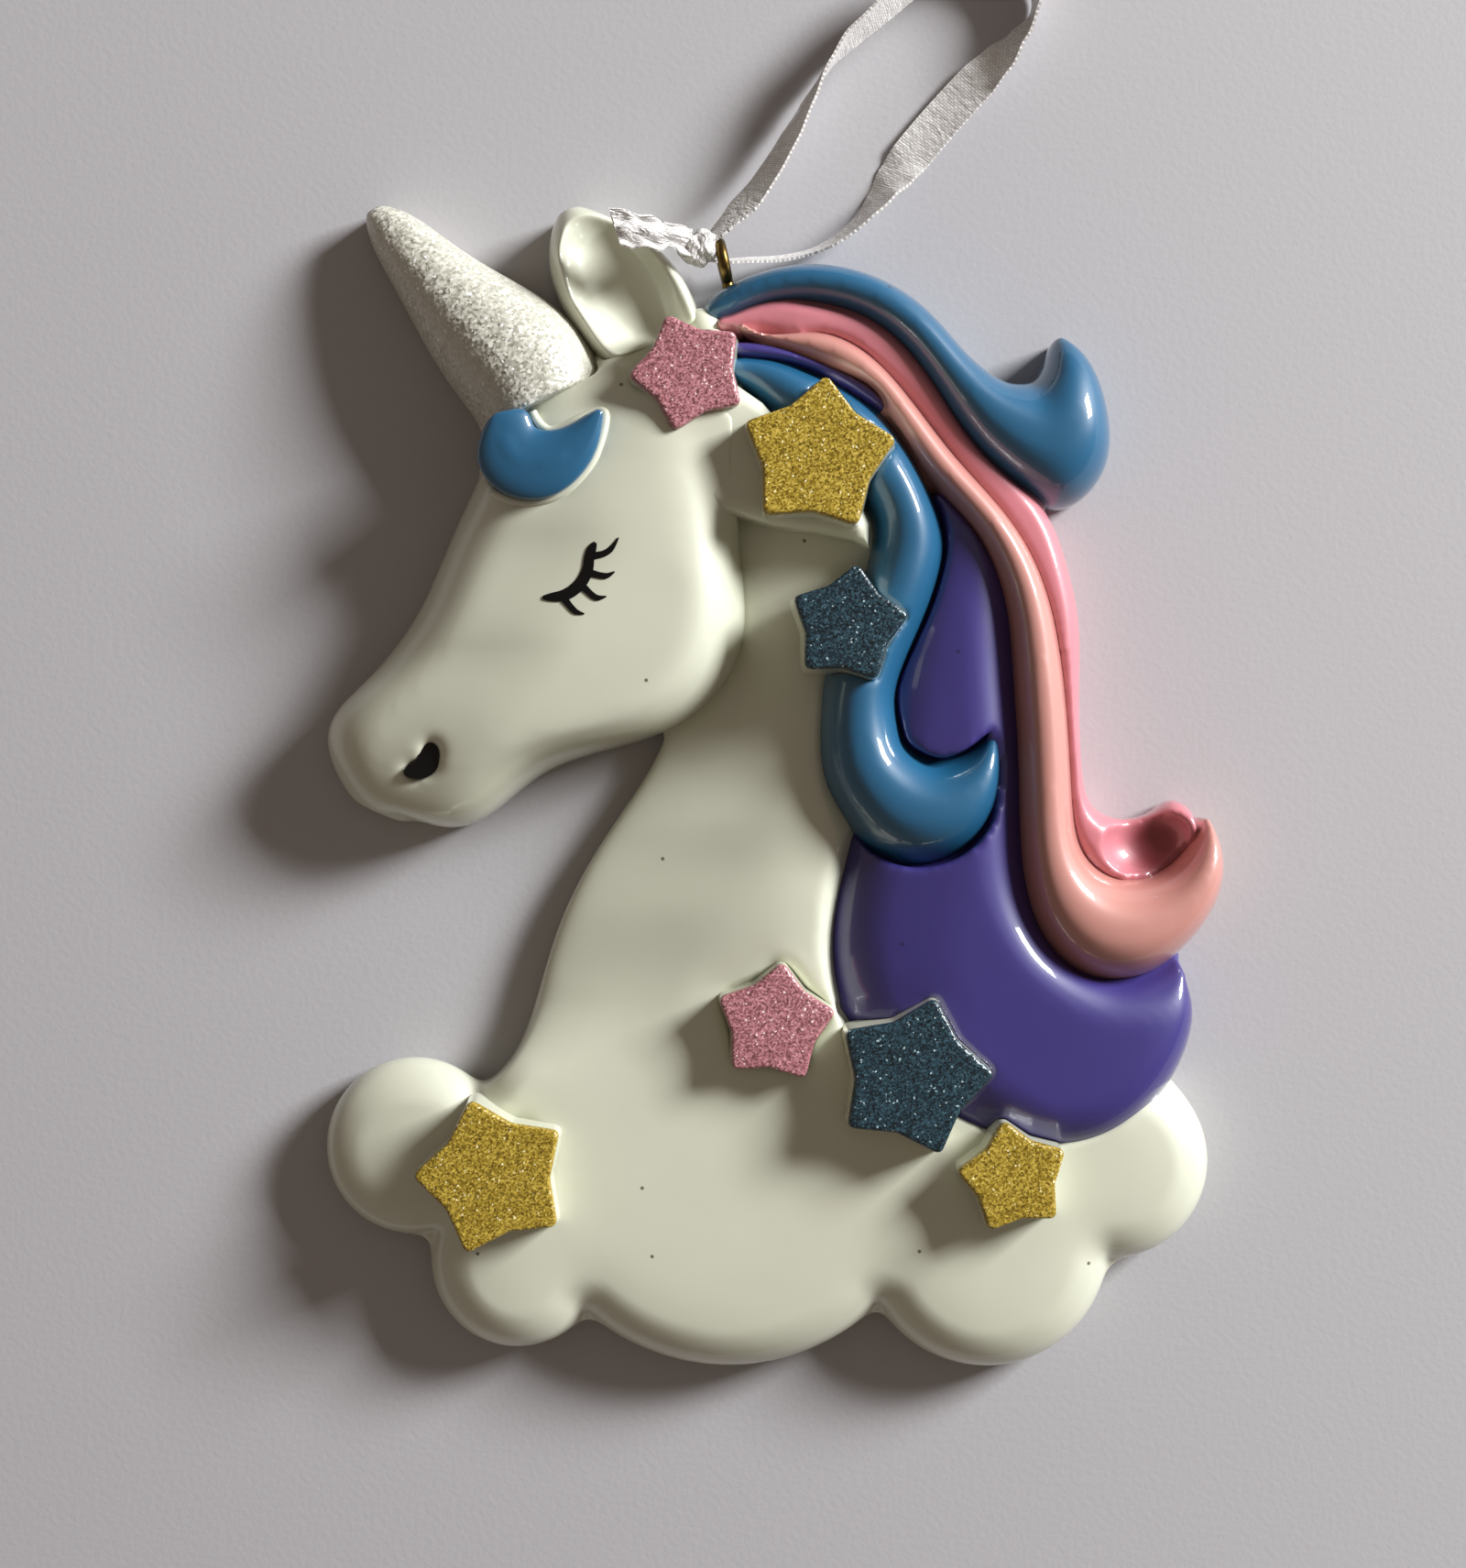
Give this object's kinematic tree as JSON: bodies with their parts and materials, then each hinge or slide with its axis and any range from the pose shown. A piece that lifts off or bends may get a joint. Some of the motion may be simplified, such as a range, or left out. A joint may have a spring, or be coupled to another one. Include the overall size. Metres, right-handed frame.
{
  "type": "unicorn hanging ornament",
  "caption": "Flat-backed hanging ornament: glossy painted relief of a unicorn's head and neck on a cloud, with curled mane locks, glitter stars, a screw eye and a ribbon loop",
  "frame": {"origin": "under the middle of the casting's box, on the plane of its flat back; the ribbon is left out", "axes": "X to the right of the picture, Y up the picture towards the screw eye, Z out of the flat back towards the viewer"},
  "size_m": [0.085, 0.1346, 0.0126],
  "materials": {
    "white_gloss": "clear gloss lacquer over ivory white",
    "blue_gloss": "clear gloss lacquer over blue paint",
    "salmon_gloss": "clear gloss lacquer over salmon pink paint",
    "rose_gloss": "clear gloss lacquer over rose pink paint",
    "purple_gloss": "clear gloss lacquer over purple paint",
    "white_glitter": "fine white glitter",
    "pink_glitter": "fine pink glitter",
    "blue_glitter": "fine teal blue glitter",
    "yellow_glitter": "fine yellow glitter",
    "antique_brass": "antique, darkened in the hollows",
    "white_ribbon": "white satin"
  },
  "bodies": {
    "ornament": {"body": "white_gloss", "head": "white_gloss", "ear": "white_gloss", "forelock": "blue_gloss", "rear_lock": "blue_gloss", "front_lock": "blue_gloss", "pink_ridge": "salmon_gloss", "pink_band": "rose_gloss", "purple_lock": "purple_gloss", "purple_strand": "purple_gloss", "horn": "white_glitter", "star_pink_ear": "pink_glitter", "star_pink_neck": "pink_glitter", "star_blue_mane": "blue_glitter", "star_blue_cloud": "blue_glitter", "star_yellow_mane": "yellow_glitter", "star_yellow_right": "yellow_glitter", "star_yellow_left": "yellow_glitter", "screw_eye": "antique_brass"},
    "hanger": {"ribbon_loop": "white_ribbon", "ribbon_knot": "white_ribbon", "ribbon_tail": "white_ribbon"}
  },
  "joints": [
    {"name": "hanger_swing", "type": "hinge", "parent": "ornament", "child": "hanger", "pos_m": [-0.00467, 0.0496, 0.004], "axis": [0.9781, 0.2079, 0], "range_deg": [0, 75]}
  ]
}
